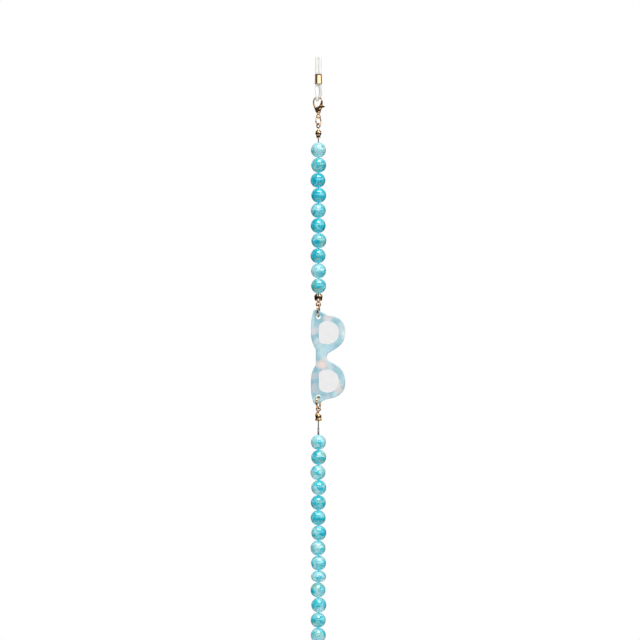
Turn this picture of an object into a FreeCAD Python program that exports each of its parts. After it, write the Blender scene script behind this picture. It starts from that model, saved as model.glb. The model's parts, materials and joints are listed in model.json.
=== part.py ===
"""Beaded retainer strap for eyeglasses, hanging straight down from its upper silicone loop.

Millimetres, +Z up, +X to the right and +Y away from the viewer. The origin lies on the strap's
straight axis, at the middle of the bend of the upper loop. Every piece of one end is laid out in
that end's own frame, which is the model's frame at the upper end. The lower end is the same
layout turned half a turn about X and moved down. Each strand is strung on straight wires.
"""
import FreeCAD, Part
import math
import os

Vector = FreeCAD.Vector
Rotation = FreeCAD.Rotation
Placement = FreeCAD.Placement
Z_AXIS = Vector(0, 0, 1)
X_AXIS = Vector(1, 0, 0)

# Driving dimensions: sheet alias, value in millimetres, what it is.
DIMENSIONS = [
    ("bead_diameter", 7.96, "round stone bead"),
    ("bead_pitch", 8.0, "spacing of the round beads"),
    ("bead_bore_radius", 0.65, "drilled hole through a bead"),
    ("bead_wander", 0.24, "how far a bead sits off the wire's axis"),
    ("flat_bead_height", 6.3, "the one bead that is a flattened rondelle"),
    ("wire_radius", 0.3, "coated stringing wire"),
    ("wire_split", 0.03, "clear space where one length of wire takes over from the next"),
    ("link_play", 0.05, "free space between two linked rings"),
    ("oblique_play", 0.12, "free space added where one of the linked rings stands at an angle"),
    ("silicone_radius", 0.82, "round section of the silicone loop"),
    ("silicone_top", 5.6, "top of the silicone loop"),
    ("silicone_leg_offset", 0.86, "half spacing of the two legs inside the slider"),
    ("silicone_splay", 1.6, "half spacing of the two legs front to back at the clasp"),
    ("slider_radius", 1.88, "outside of the sliding tube"),
    ("slider_bore_radius", 1.73, "inside of the sliding tube"),
    ("slider_length", 5.1, "length of the sliding tube"),
    ("slider_top", -4.5, "upper rim of the sliding tube"),
    ("hook_outer_radius", 2.65, "outside of the clasp's hook"),
    ("hook_inner_radius", 1.85, "inside of the clasp's hook"),
    ("hook_depth", 1.4, "front to back at the hook"),
    ("housing_depth", 2.2, "front to back at the clasp's body"),
    ("lever_depth", 1.1, "front to back of the lever"),
    ("lever_slot", 1.3, "slot in the clasp's body for the lever"),
    ("pin_radius", 0.3, "lever's pin"),
    ("pin_clearance", 0.04, "running fit of the lever on its pin"),
    ("spring_depth", 0.8, "width of the leaf spring"),
    ("eye_radius", 1.05, "middle radius of the clasp's eye"),
    ("eye_wire_radius", 0.28, "section of the clasp's eye"),
    ("clasp_ring_radius", 2.05, "middle radius of the jump ring on the clasp"),
    ("clasp_ring_wire", 0.3, "wire radius of that ring"),
    ("charm_ring_radius", 3.12, "middle radius of the jump rings on the charm"),
    ("charm_ring_wire", 0.475, "wire radius of those rings"),
    ("ring_slit", 0.08, "slit where a jump ring's two ends meet"),
    ("tip_loop_radius", 1.1, "middle radius of a bead tip's loop"),
    ("tip_loop_wire", 0.34, "wire radius of a bead tip's loop"),
    ("tip_wall", 0.3, "sheet thickness of a bead tip's cups"),
    ("tip_hole_radius", 0.5, "hole where the wire enters a bead tip"),
    ("crimp_radius", 0.8, "crimp bead inside a bead tip"),
    ("crimp_bore_radius", 0.32, "bore of a crimp bead"),
    ("crimp_length", 1.4, "length of a crimp bead"),
    ("tail_tube_radius", 0.47, "sleeve over the wire's doubled tail"),
    ("tail_tube_length", 4.9, "length of that sleeve"),
    ("charm_depth", 2.4, "thickness of the charm"),
    ("charm_edge", 0.5, "rounding of the charm's edges"),
    ("charm_hole_radius", 1.2, "hole in each end of the charm"),
    ("charm_hole_offset", 21.15, "from the charm's middle to a hole"),
    ("lens_depth", 0.8, "thickness of the charm's lenses"),
    ("lens_gap", 0.05, "gap between a lens and its rim"),
]
SIZE = {alias: value for alias, value, meaning in DIMENSIONS}

END_BEADS = 10
END_SPLIT = 5
NECK_SEGMENTS = 6
SEGMENT_BEADS = 6
FLAT_BEAD = 9
END_WIRE_SLACK = 2.3
NECK_WIRE_SLACK = 7.2

# Heights in an end's frame.
LOOP_BOTTOM = -17.98
SLIDER_CLEAR = -10.9
HOOK_CENTRE = Vector(-0.3, 0, -18.85)
LOOP_SIDE_SHIFT = -0.7
LEVER_PIVOT = Vector(0.75, 0, -22.9)
EYE_HEIGHT = -26.85
CLASP_TIP = {"ball": -35.6, "radius": 1.6, "collar": 38.2 - 35.6, "slit": 0.15}
CHARM_TIP = {"ball": -122.65, "radius": 2.05, "collar": 122.65 - 120.55, "slit": 0.5}
NECK_TIP = {"ball": -186.4, "radius": 1.75, "collar": 188.1 - 186.4, "slit": 0.3}
CLASP_RING_TURN = 50.0
CHARM_RING_TURN = 82.0
LOWER_RING_TURN = 72.0

doc = FreeCAD.newDocument("retainer_strap")
sheet = doc.addObject("Spreadsheet::Sheet", "dims")
nodes = []


def fill_sheet():
    """Write every driving dimension into the sheet, one row each."""
    for row, (alias, value, meaning) in enumerate(DIMENSIONS, start=1):
        sheet.set(f"A{row}", meaning)
        sheet.set(f"B{row}", str(value))
        sheet.setAlias(f"B{row}", alias)
    doc.recompute()


def add(kind, name, **bound):
    """Add a document object and bind its properties to expressions on the sheet's cells."""
    made = doc.addObject(kind, name)
    for prop, expression in bound.items():
        made.setExpression(prop, expression)
    return made


def finish(shape_object, label, end, local=Placement()):
    """Name a sub-part and seat it in its end's frame."""
    shape_object.Label = label
    shape_object.Placement = end.multiply(local)
    nodes.append(shape_object)


def upright(turn, centre):
    """Stand a ring that lies flat on Z upright, turned about Z from the front plane."""
    return Placement(centre, Rotation(Z_AXIS, turn).multiply(Rotation(X_AXIS, 90)))


# ---------------------------------------------------------------- linked rings, worked out downwards

def link_drop(upper_wire, lower_wire):
    """Height of the lower ring's top wire above the wire it hangs on."""
    return upper_wire + lower_wire + SIZE["link_play"]


def end_stations():
    """Heights of every ring and loop of one end, each hung on the one before."""
    at = {}
    eye_bottom = EYE_HEIGHT - SIZE["eye_radius"]
    ring_top = eye_bottom + link_drop(SIZE["eye_wire_radius"], SIZE["clasp_ring_wire"])
    ring_top += SIZE["oblique_play"]
    at["clasp_ring"] = ring_top - SIZE["clasp_ring_radius"]
    ring_bottom = at["clasp_ring"] - SIZE["clasp_ring_radius"]
    loop_top = ring_bottom + link_drop(SIZE["clasp_ring_wire"], SIZE["tip_loop_wire"])
    at["clasp_tip_loop"] = loop_top - SIZE["tip_loop_radius"]
    at["charm_tip_loop"] = CHARM_TIP["ball"] - 3.65
    loop_bottom = at["charm_tip_loop"] - SIZE["tip_loop_radius"]
    ring_top = loop_bottom + link_drop(SIZE["tip_loop_wire"], SIZE["charm_ring_wire"])
    at["outer_ring"] = ring_top - SIZE["charm_ring_radius"]
    seat = ring_seat(CHARM_RING_TURN)
    at["upper_hole"] = at["outer_ring"] - seat - SIZE["charm_hole_radius"]
    at["upper_hole"] += SIZE["oblique_play"]
    at["charm"] = at["upper_hole"] - SIZE["charm_hole_offset"]
    at["lower_hole"] = at["charm"] - SIZE["charm_hole_offset"]
    at["inner_ring"] = at["lower_hole"] - SIZE["charm_hole_radius"] - ring_seat(LOWER_RING_TURN)
    at["inner_ring"] += SIZE["oblique_play"]
    ring_bottom = at["inner_ring"] - SIZE["charm_ring_radius"]
    loop_top = ring_bottom + link_drop(SIZE["charm_ring_wire"], SIZE["tip_loop_wire"])
    at["neck_tip_loop"] = loop_top - SIZE["tip_loop_radius"]
    return at


def ring_seat(turn):
    """How far from a charm ring's centre the charm's hole edge lies, clear of the curving wire."""
    inner = SIZE["charm_ring_radius"] - SIZE["charm_ring_wire"]
    reach = SIZE["charm_depth"] / 2 / math.sin(math.radians(turn))
    skew = SIZE["charm_depth"] / 2 / math.tan(math.radians(turn)) + SIZE["charm_ring_wire"]
    wire_side = math.sqrt(inner ** 2 - reach ** 2)
    level_side = SIZE["charm_hole_radius"] - math.sqrt(SIZE["charm_hole_radius"] ** 2 - skew ** 2)
    return wire_side - level_side * abs(math.cos(math.radians(turn))) * 2 - SIZE["link_play"]


AT = end_stations()
UPPER_END = Placement()


# ---------------------------------------------------------------- silicone loop and its slider

def tangent_arc(start, corner, stop):
    """Arc from start to stop that is tangent to both legs of an evenly cut corner."""
    leg_in = corner - start
    half_turn = leg_in.getAngle(stop - corner) / 2
    if half_turn < 1e-4:
        return Part.LineSegment(start, stop)
    radius = leg_in.Length / math.tan(half_turn)
    inward = (start + stop) * 0.5 - corner
    depth = radius / math.cos(half_turn) - radius
    return Part.Arc(start, corner + inward.normalize() * depth, stop)


def rounded_path(points):
    """Straight runs joined by tangent arcs, each as large as 0.45 of its shorter run allows."""
    edges = []
    start = points[0]
    for before, corner, after in zip(points, points[1:], points[2:]):
        run_in = corner - before
        run_out = after - corner
        setback = 0.45 * min(run_in.Length, run_out.Length)
        arc_start = corner - run_in.normalize() * setback
        arc_end = corner + run_out.normalize() * setback
        edges.append(Part.LineSegment(start, arc_start).toShape())
        edges.append(tangent_arc(arc_start, corner, arc_end).toShape())
        start = arc_end
    edges.append(Part.LineSegment(start, points[-1]).toShape())
    return Part.Wire(edges)


def tube_along(path, radius):
    """A round bar whose middle line is the path."""
    start = path.Edges[0].firstVertex().Point
    direction = path.Edges[0].tangentAt(path.Edges[0].FirstParameter)
    profile = Part.Wire([Part.Circle(start, direction, radius).toShape()])
    return path.makePipeShell([profile], True, False)


def silicone_leg(side):
    """One leg from the middle of the top bend, through the slider, round the hook to its middle."""
    offset = SIZE["silicone_leg_offset"]
    top = SIZE["silicone_top"] - SIZE["silicone_radius"]
    splay = side * SIZE["silicone_splay"]
    points = [
        Vector(0, 0, top),
        Vector(side * offset, 0, top),
        Vector(side * offset, 0, top - 2 * offset),
        Vector(side * offset, 0, SLIDER_CLEAR),
        Vector(side * 1.1, splay / 2, -12.8),
        Vector(LOOP_SIDE_SHIFT, splay, -15.4),
        Vector(LOOP_SIDE_SHIFT, splay, LOOP_BOTTOM),
        Vector(LOOP_SIDE_SHIFT, 0, LOOP_BOTTOM),
    ]
    bend = rounded_path(points[:3])
    drop = rounded_path(points[2:])
    return tube_along(bend, SIZE["silicone_radius"]).fuse(tube_along(drop, SIZE["silicone_radius"]))


def silicone_loop(label, end):
    """Endless silicone loop: legs side by side at the top, front and back of the hook below."""
    loop = doc.addObject("Part::Feature", "SiliconeLoop")
    loop.Shape = silicone_leg(1).fuse(silicone_leg(-1)).removeSplitter()
    finish(loop, label, end)


def slider_tube(label, end):
    """Thin metal tube that slides on both legs and sets the size of the loop."""
    sleeve = add("Part::Cylinder", "SliderOutside", Radius="dims.slider_radius", Height="dims.slider_length")
    hollow = add("Part::Cylinder", "SliderInside", Radius="dims.slider_bore_radius",
                 Height="dims.slider_length * 3")
    hollow.Placement.Base = Vector(0, 0, -SIZE["slider_length"])
    tube = doc.addObject("Part::Cut", "SliderTube")
    tube.Base = sleeve
    tube.Tool = hollow
    finish(tube, label, end, Placement(Vector(0, 0, SIZE["slider_top"] - SIZE["slider_length"]), Rotation()))


# ---------------------------------------------------------------- lobster clasp

def front_plane(body):
    """The body's own XZ plane, on which sketches read as (x, z)."""
    return next(f for f in body.Origin.OriginFeatures if f.Role == "XZ_Plane")


def front_sketch(body, name, curves):
    """A sketch on the body's front plane, made of the given flat curves."""
    sketch = body.newObject("Sketcher::SketchObject", name)
    sketch.AttachmentSupport = [(front_plane(body), "")]
    sketch.MapMode = "FlatFace"
    for curve in curves:
        sketch.addGeometry(curve, False)
    return sketch


def padded(body, name, curves, depth):
    """Pad a front sketch evenly to front and back, by a depth bound to the sheet."""
    sketch = front_sketch(body, name + "Sketch", curves)
    pad = body.newObject("PartDesign::Pad", name)
    pad.Profile = sketch
    pad.SideType = "Symmetric"
    pad.setExpression("Length", depth)
    return pad


def pocketed(body, name, curves, depth):
    """Cut a front sketch evenly to front and back, by a depth bound to the sheet."""
    sketch = front_sketch(body, name + "Sketch", curves)
    pocket = body.newObject("PartDesign::Pocket", name)
    pocket.Profile = sketch
    pocket.SideType = "Symmetric"
    pocket.setExpression("Length", depth)
    return pocket


def flat(x, z):
    """A sketch point."""
    return Vector(x, z, 0)


def hook_point(radius, degrees):
    """A point of the hook's round, as a sketch point."""
    angle = math.radians(degrees)
    return flat(HOOK_CENTRE.x + radius * math.cos(angle), HOOK_CENTRE.z + radius * math.sin(angle))


def hook_arc(radius, start, stop):
    """An arc of the hook's round through its middle angle."""
    return Part.Arc(hook_point(radius, start), hook_point(radius, (start + stop) / 2), hook_point(radius, stop))


def closed_lines(points):
    """Straight segments round a closed outline."""
    return [Part.LineSegment(a, b) for a, b in zip(points, points[1:] + points[:1])]


def circle(x, z, radius):
    """A circle in a sketch."""
    return Part.Circle(flat(x, z), Vector(0, 0, 1), radius)


# Angles on the hook's round, in degrees from +X. The gate meets the hook on a level cut, so that it
# passes under the hook as it opens.
HOOK_TIP_OUTER = 21
HOOK_TIP_INNER = 31
HOOK_HEEL = 192
GATE_TIP_OUTER = 15
GATE_TIP_INNER = 28
GATE_FOOT_OUTER = -22
GATE_FOOT_INNER = -34


def clasp_body(label, end):
    """Hook, left arm, base and eye in one casting, with a slot and a cross hole for the lever."""
    body = doc.addObject("PartDesign::Body", "ClaspBody")
    outer = SIZE["hook_outer_radius"]
    inner = SIZE["hook_inner_radius"]
    base_left = flat(-0.95, -25.2)
    base_right = flat(0.95, -25.2)
    shoulder = flat(1.55, -22.4)
    seat = flat(0.3, -21.9)
    crotch = flat(-0.95, -21.6)
    outline = [
        hook_arc(outer, HOOK_TIP_OUTER, HOOK_HEEL),
        Part.LineSegment(hook_point(outer, HOOK_HEEL), base_left),
        Part.LineSegment(base_left, base_right),
        Part.LineSegment(base_right, shoulder),
        Part.LineSegment(shoulder, seat),
        Part.LineSegment(seat, crotch),
        Part.LineSegment(crotch, hook_point(inner, HOOK_HEEL)),
        hook_arc(inner, HOOK_HEEL, HOOK_TIP_INNER),
        Part.LineSegment(hook_point(inner, HOOK_TIP_INNER), hook_point(outer, HOOK_TIP_OUTER)),
    ]
    padded(body, "Hook", outline, "dims.hook_depth")
    housing = [flat(-2.3, -21.6), flat(-0.95, -25.2), flat(0.95, -25.2), flat(1.55, -22.4),
               flat(0.3, -21.9), flat(-0.95, -21.6)]
    padded(body, "Housing", closed_lines(housing), "dims.housing_depth")
    neck = [flat(-0.5, -25.0), flat(-0.5, -25.77), flat(0.5, -25.77), flat(0.5, -25.0)]
    padded(body, "EyeNeck", closed_lines(neck), "dims.eye_wire_radius * 2")
    eye = body.newObject("PartDesign::AdditiveTorus", "Eye")
    eye.setExpression("Radius1", "dims.eye_radius")
    eye.setExpression("Radius2", "dims.eye_wire_radius")
    eye.Placement = Placement(Vector(0, 0, EYE_HEIGHT), Rotation(X_AXIS, 90))
    slot = [flat(-0.35, -21.0), flat(-0.35, -24.3), flat(2.6, -24.3), flat(2.6, -21.0)]
    pocketed(body, "LeverSlot", closed_lines(slot), "dims.lever_slot")
    pivot = circle(LEVER_PIVOT.x, LEVER_PIVOT.z, SIZE["pin_radius"])
    pocketed(body, "PinHole", [pivot], "dims.housing_depth * 2")
    finish(body, label, end)


def clasp_lever(label, end):
    """Gate of the clasp with its thumb tab, turning about the pin."""
    body = doc.addObject("PartDesign::Body", "ClaspLever")
    outer = SIZE["hook_outer_radius"]
    inner = SIZE["hook_inner_radius"]
    outline = [
        hook_arc(outer, GATE_TIP_OUTER, GATE_FOOT_OUTER),
        Part.LineSegment(hook_point(outer, GATE_FOOT_OUTER), flat(2.3, -20.9)),
        Part.LineSegment(flat(2.3, -20.9), flat(3.35, -21.3)),
        Part.LineSegment(flat(3.35, -21.3), flat(3.3, -21.9)),
        Part.LineSegment(flat(3.3, -21.9), flat(1.5, -22.4)),
        Part.LineSegment(flat(1.5, -22.4), flat(1.35, -23.3)),
        Part.Arc(flat(1.35, -23.3), flat(0.62, -23.6), flat(0.12, -23.0)),
        Part.LineSegment(flat(0.12, -23.0), flat(0.2, -22.2)),
        Part.LineSegment(flat(0.2, -22.2), hook_point(inner, GATE_FOOT_INNER)),
        hook_arc(inner, GATE_FOOT_INNER, GATE_TIP_INNER),
        Part.LineSegment(hook_point(inner, GATE_TIP_INNER), hook_point(outer, GATE_TIP_OUTER)),
    ]
    padded(body, "Gate", outline, "dims.lever_depth")
    pivot = circle(LEVER_PIVOT.x, LEVER_PIVOT.z, SIZE["pin_radius"] + SIZE["pin_clearance"])
    pocketed(body, "PivotHole", [pivot], "dims.lever_depth * 2")
    finish(body, label, end)


def clasp_pin(label, end):
    """Pin pressed through the clasp's body, on which the lever turns."""
    pin = add("Part::Cylinder", "ClaspPin", Radius="dims.pin_radius", Height="dims.housing_depth")
    seat = LEVER_PIVOT + Vector(0, SIZE["housing_depth"] / 2, 0)
    finish(pin, label, end, Placement(seat, Rotation(X_AXIS, 90)))


def clasp_spring(label, end):
    """Bent leaf spring in the slot that holds the lever shut."""
    body = doc.addObject("PartDesign::Body", "ClaspSpring")
    leaf = [flat(-0.35, -24.3), flat(1.0, -24.3), flat(1.0, -24.15), flat(-0.15, -24.15),
            flat(-0.08, -22.4), flat(-0.23, -22.4), flat(-0.35, -23.6)]
    padded(body, "Leaf", closed_lines(leaf), "dims.spring_depth")
    finish(body, label, end)


# ---------------------------------------------------------------- rings and bead tips

def jump_ring(label, end, radius, wire, turn, height, slit_side):
    """Wire bent round to a ring, with the fine slit where its ends meet, at one side."""
    loop = add("Part::Torus", "RingWire", Radius1=f"dims.{radius}", Radius2=f"dims.{wire}")
    slit = add("Part::Box", "RingSlit", Length=f"dims.{wire} * 4", Width="dims.ring_slit",
               Height=f"dims.{wire} * 4")
    half = SIZE[wire] * 2
    slit.Placement.Base = Vector(slit_side * SIZE[radius] - half, -SIZE["ring_slit"] / 2, -half)
    ring = doc.addObject("Part::Cut", "JumpRing")
    ring.Base = loop
    ring.Tool = slit
    finish(ring, label, end, upright(turn, Vector(0, 0, height)))


def bead_tip(label, end, tip, loop_height, turn, flipped):
    """Clamshell bead tip: two cups folded into a hollow ball, a collar for the wire and a loop.

    Built with its loop up and its wire hole down, about the middle of the ball, and turned
    over where the wire enters from above.
    """
    reach = abs(loop_height - tip["ball"])
    radius = tip["radius"]
    loop = add("Part::Torus", "TipLoop", Radius1="dims.tip_loop_radius", Radius2="dims.tip_loop_wire")
    loop.Placement = upright(turn, Vector(0, 0, reach))
    neck = add("Part::Cylinder", "TipNeck", Radius="dims.tip_loop_wire")
    neck.Height = reach - SIZE["tip_loop_radius"] - radius + SIZE["tip_wall"] / 2
    neck.Placement.Base = Vector(0, 0, radius - SIZE["tip_wall"] / 2)
    ball = doc.addObject("Part::Sphere", "TipCups")
    ball.Radius = radius
    collar = add("Part::Cylinder", "TipCollar", Radius="dims.tip_hole_radius + dims.tip_wall * 2")
    collar.Height = tip["collar"] - radius * 0.8
    collar.Placement.Base = Vector(0, 0, -tip["collar"])
    outside = doc.addObject("Part::MultiFuse", "TipOutside")
    outside.Shapes = [loop, neck, ball, collar]
    cavity = doc.addObject("Part::Sphere", "TipCavity")
    cavity.Radius = radius - SIZE["tip_wall"]
    hole = add("Part::Cylinder", "TipHole", Radius="dims.tip_hole_radius")
    hole.Height = tip["collar"] * 2
    hole.Placement.Base = Vector(0, 0, -tip["collar"] * 2)
    parting = doc.addObject("Part::Box", "TipParting")
    parting.Length = tip["slit"]
    parting.Width = radius * 4
    parting.Height = radius * 1.5
    parting.Placement.Base = Vector(-tip["slit"] / 2, -radius * 2, -radius)
    inside = doc.addObject("Part::MultiFuse", "TipInside")
    inside.Shapes = [cavity, hole, parting]
    clamshell = doc.addObject("Part::Cut", "BeadTip")
    clamshell.Base = outside
    clamshell.Tool = inside
    over = Rotation(X_AXIS, 180 if flipped else 0)
    finish(clamshell, label, end, Placement(Vector(0, 0, tip["ball"]), over))


def crimp_bead(label, end, height):
    """Soft metal tube squeezed on the wire's end, which keeps it in the bead tip."""
    outside = add("Part::Cylinder", "CrimpOutside", Radius="dims.crimp_radius", Height="dims.crimp_length")
    inside = add("Part::Cylinder", "CrimpInside", Radius="dims.crimp_bore_radius", Height="dims.crimp_length")
    crimp = doc.addObject("Part::Cut", "CrimpBead")
    crimp.Base = outside
    crimp.Tool = inside
    finish(crimp, label, end, Placement(Vector(0, 0, height - SIZE["crimp_length"] / 2), Rotation()))


# ---------------------------------------------------------------- strands

def wander(number):
    """Sideways place of a numbered bead on its wire: a slow uneven wave that starts on the axis."""
    reach = SIZE["bead_wander"]
    return Vector(reach * math.sin(2.4 * number), reach * math.sin(1.7 * number), 0)


def drilled_bead(centre, height):
    """One bead with its bore; a bead lower than the round ones is squashed along the wire."""
    if height < SIZE["bead_diameter"]:
        ball = add("Part::Ellipsoid", "FlatBead", Radius2="dims.bead_diameter / 2",
                   Radius3="dims.bead_diameter / 2", Radius1="dims.flat_bead_height / 2")
    else:
        ball = add("Part::Sphere", "Bead", Radius="dims.bead_diameter / 2")
    bore = add("Part::Cylinder", "BeadBore", Radius="dims.bead_bore_radius", Height="dims.bead_diameter * 2")
    bore.Placement.Base = Vector(0, 0, -SIZE["bead_diameter"])
    bead = doc.addObject("Part::Cut", "DrilledBead")
    bead.Base = ball
    bead.Tool = bore
    bead.Placement.Base = centre
    return bead


def bead_group(label, end, centres):
    """Loose round beads in a row, as separate solids in one node."""
    group = doc.addObject("Part::Compound", "BeadRow")
    group.Links = [drilled_bead(centre, SIZE["bead_diameter"]) for centre in centres]
    finish(group, label, end)


def wire_length(label, end, top, bottom):
    """A straight length of stringing wire between two heights."""
    wire = add("Part::Cylinder", "Wire", Radius="dims.wire_radius")
    wire.Height = top - bottom
    finish(wire, label, end, Placement(Vector(0, 0, bottom), Rotation()))


def tail_tube(label, end, top):
    """Fine sleeve over the doubled tail of the neck wire, running into the first bead."""
    outside = add("Part::Cylinder", "TailOutside", Radius="dims.tail_tube_radius",
                  Height="dims.tail_tube_length")
    inside = add("Part::Cylinder", "TailInside", Radius="dims.crimp_bore_radius",
                 Height="dims.tail_tube_length")
    tube = doc.addObject("Part::Cut", "TailTube")
    tube.Base = outside
    tube.Tool = inside
    finish(tube, label, end, Placement(Vector(0, 0, top - SIZE["tail_tube_length"]), Rotation()))


def end_strand(side, end, first_bead):
    """Ten beads on two lengths of wire; the second length takes over under the fifth bead."""
    centres = [Vector(0, 0, first_bead - k * SIZE["bead_pitch"]) + wander(k) for k in range(END_BEADS)]
    split = centres[END_SPLIT - 1].z - SIZE["bead_pitch"] / 2
    bead_group(f"{side}_strand_beads_a", end, centres[:END_SPLIT])
    bead_group(f"{side}_strand_beads_b", end, centres[END_SPLIT:])
    wire_length(f"{side}_strand_wire_a", end, CLASP_TIP["ball"], split + SIZE["wire_split"] / 2)
    wire_length(f"{side}_strand_wire_b", end, split - SIZE["wire_split"] / 2, CHARM_TIP["ball"])


def neck_beads():
    """Centres of the beads of the long strand, top to bottom, with one flattened bead."""
    centres = []
    top = NECK_TIP["ball"] - NECK_TIP["collar"] - NECK_WIRE_SLACK
    for number in range(NECK_SEGMENTS * SEGMENT_BEADS):
        height = SIZE["flat_bead_height"] if number == FLAT_BEAD else SIZE["bead_pitch"]
        centres.append(Vector(0, 0, top - height / 2) + wander(number))
        top -= height
    return centres, top


def neck_strand(lower_ball):
    """The long strand round the neck: six lengths of wire, each with its six beads."""
    centres, bottom = neck_beads()
    gap = SIZE["wire_split"] / 2
    wire_top = NECK_TIP["ball"]
    for segment in range(NECK_SEGMENTS):
        first = segment * SEGMENT_BEADS
        numbers = range(first, first + SEGMENT_BEADS)
        row = [centres[n] for n in numbers if n != FLAT_BEAD]
        bead_group(f"neck_beads_{segment + 1}", UPPER_END, row)
        last = segment == NECK_SEGMENTS - 1
        split = centres[first + SEGMENT_BEADS - 1].z - SIZE["bead_pitch"] / 2
        wire_bottom = lower_ball if last else split + gap
        wire_length(f"neck_wire_{segment + 1}", UPPER_END, wire_top, wire_bottom)
        wire_top = split - gap
    finish_flat_bead(centres[FLAT_BEAD])


def finish_flat_bead(centre):
    """The flattened bead of the long strand, a piece of its own."""
    bead = drilled_bead(Vector(), SIZE["flat_bead_height"])
    finish(bead, "flat_bead", UPPER_END, Placement(centre, Rotation()))


# ---------------------------------------------------------------- charm

# Outlines of the charm as knots: distance along from its middle, distance across, and heading in
# degrees. Two tangent arcs join each knot to the next.
CHARM_KNOTS = [(3.5, -1.35, 0), (5.9, -2.4, -26), (9.0, -3.55, -14), (12.2, -3.95, 0), (17.0, -3.92, 2),
               (23.2, -3.05, 14), (25.1, -1.2, 100), (23.6, 1.9, 118), (22.1, 6.0, 97),
               (19.2, 12.2, 135), (13.2, 14.25, 180), (7.2, 12.5, 213), (4.0, 8.7, 236), (0.0, 4.5, 180)]
LENS_KNOTS = [(15.6, 0.3, 0), (19.0, 4.6, 88), (12.9, 10.95, 180), (6.7, 4.9, 267), (9.6, 0.3, 360)]
LENS_MIDDLE = (12.9, 5.6)


def knot_arcs(knots, half, centre):
    """Smooth outline through the knots; half is +1 for the upper lens and -1 for the lower one."""
    curves = []
    for (u1, v1, heading1), (u2, v2, heading2) in zip(knots, knots[1:]):
        start = flat(v1, centre + half * u1)
        stop = flat(v2, centre + half * u2)
        out = charm_heading(heading1, half)
        into = charm_heading(heading2, half)
        chord = stop - start
        both = out + into
        bend = 2 * (1 - out.dot(into))
        lean = chord.dot(both)
        reach = (math.sqrt(lean ** 2 + bend * chord.dot(chord)) - lean) / bend if bend else chord.Length / 2
        first = start + out * reach
        second = stop - into * reach
        meeting = (first + second) * 0.5
        curves.append(tangent_arc(start, first, meeting))
        curves.append(tangent_arc(meeting, second, stop))
    return curves


def charm_heading(degrees, half):
    """Unit direction of an outline, with along measured up or down the strap."""
    angle = math.radians(degrees)
    return flat(math.sin(angle), half * math.cos(angle))


def charm_outline(centre):
    """Front of a pair of spectacles, set on end: bridge, brow, end piece and lens rim, twice."""
    bridge_along, bridge_across, heading = CHARM_KNOTS[0]
    curves = knot_arcs(CHARM_KNOTS, 1, centre) + knot_arcs(CHARM_KNOTS, -1, centre)
    curves.append(Part.LineSegment(flat(bridge_across, centre + bridge_along),
                                   flat(bridge_across, centre - bridge_along)))
    return curves


def lens_outline(centre, half, inset):
    """Rounded D of a lens, drawn in from its rim by the inset."""
    middle_along, middle_across = LENS_MIDDLE
    share = 1 - 2 * inset / LENS_KNOTS[2][1]
    knots = [(middle_along + (along - middle_along) * share,
              middle_across + (across - middle_across) * share, heading)
             for along, across, heading in LENS_KNOTS]
    first = flat(knots[0][1], centre + half * knots[0][0])
    last = flat(knots[-1][1], centre + half * knots[-1][0])
    return knot_arcs(knots, half, centre) + [Part.LineSegment(last, first)]


def charm_front(label, end):
    """Acetate charm shaped as a spectacle front, with two lens openings and two end holes."""
    body = doc.addObject("PartDesign::Body", "CharmFront")
    pad = padded(body, "Front", charm_outline(AT["charm"]), "dims.charm_depth")
    doc.recompute()
    rim = body.newObject("PartDesign::Fillet", "RoundedRim")
    rim.Base = (pad, face_loops(pad.Shape))
    rim.setExpression("Radius", "dims.charm_edge")
    for half in (1, -1):
        name = "UpperLensOpening" if half > 0 else "LowerLensOpening"
        pocketed(body, name, lens_outline(AT["charm"], half, 0), "dims.charm_depth * 2")
    for height in (AT["upper_hole"], AT["lower_hole"]):
        hole = circle(0, height, SIZE["charm_hole_radius"])
        pocketed(body, "RingHole", [hole], "dims.charm_depth * 2")
    finish(body, label, end)


def face_loops(shape):
    """Names of the edges that bound the front and the back face."""
    names = []
    for number, edge in enumerate(shape.Edges, start=1):
        box = edge.BoundBox
        if box.YLength < 1e-6:
            names.append(f"Edge{number}")
    return names


def charm_lens(label, end, half):
    """Thin clear lens set in one opening of the charm."""
    body = doc.addObject("PartDesign::Body", "CharmLens")
    padded(body, "Lens", lens_outline(AT["charm"], half, SIZE["lens_gap"]), "dims.lens_depth")
    finish(body, label, end)


# ---------------------------------------------------------------- assembly

def build_end(side, end, first_bead):
    """All pieces of one end of the strap, from its silicone loop to the tip of the long strand."""
    silicone_loop(f"{side}_silicone_loop", end)
    slider_tube(f"{side}_slider_tube", end)
    clasp_body(f"{side}_clasp_body", end)
    clasp_lever(f"{side}_clasp_lever", end)
    clasp_pin(f"{side}_clasp_pin", end)
    clasp_spring(f"{side}_clasp_spring", end)
    jump_ring(f"{side}_clasp_ring", end, "clasp_ring_radius", "clasp_ring_wire",
              CLASP_RING_TURN, AT["clasp_ring"], 1)
    bead_tip(f"{side}_clasp_tip", end, CLASP_TIP, AT["clasp_tip_loop"], CLASP_RING_TURN + 90, False)
    crimp_bead(f"{side}_clasp_tip_crimp", end, CLASP_TIP["ball"])
    end_strand(side, end, first_bead)
    bead_tip(f"{side}_charm_tip", end, CHARM_TIP, AT["charm_tip_loop"], 0, True)
    crimp_bead(f"{side}_charm_tip_crimp", end, CHARM_TIP["ball"])
    jump_ring(f"{side}_outer_charm_ring", end, "charm_ring_radius", "charm_ring_wire",
              CHARM_RING_TURN, AT["outer_ring"], 1)
    charm_front(f"{side}_charm_front", end)
    charm_lens(f"{side}_charm_lens_outer", end, 1)
    charm_lens(f"{side}_charm_lens_inner", end, -1)
    jump_ring(f"{side}_inner_charm_ring", end, "charm_ring_radius", "charm_ring_wire",
              LOWER_RING_TURN, AT["inner_ring"], -1)
    bead_tip(f"{side}_neck_tip", end, NECK_TIP, AT["neck_tip_loop"], LOWER_RING_TURN - 90, False)
    crimp_bead(f"{side}_neck_tip_crimp", end, NECK_TIP["ball"])


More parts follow.
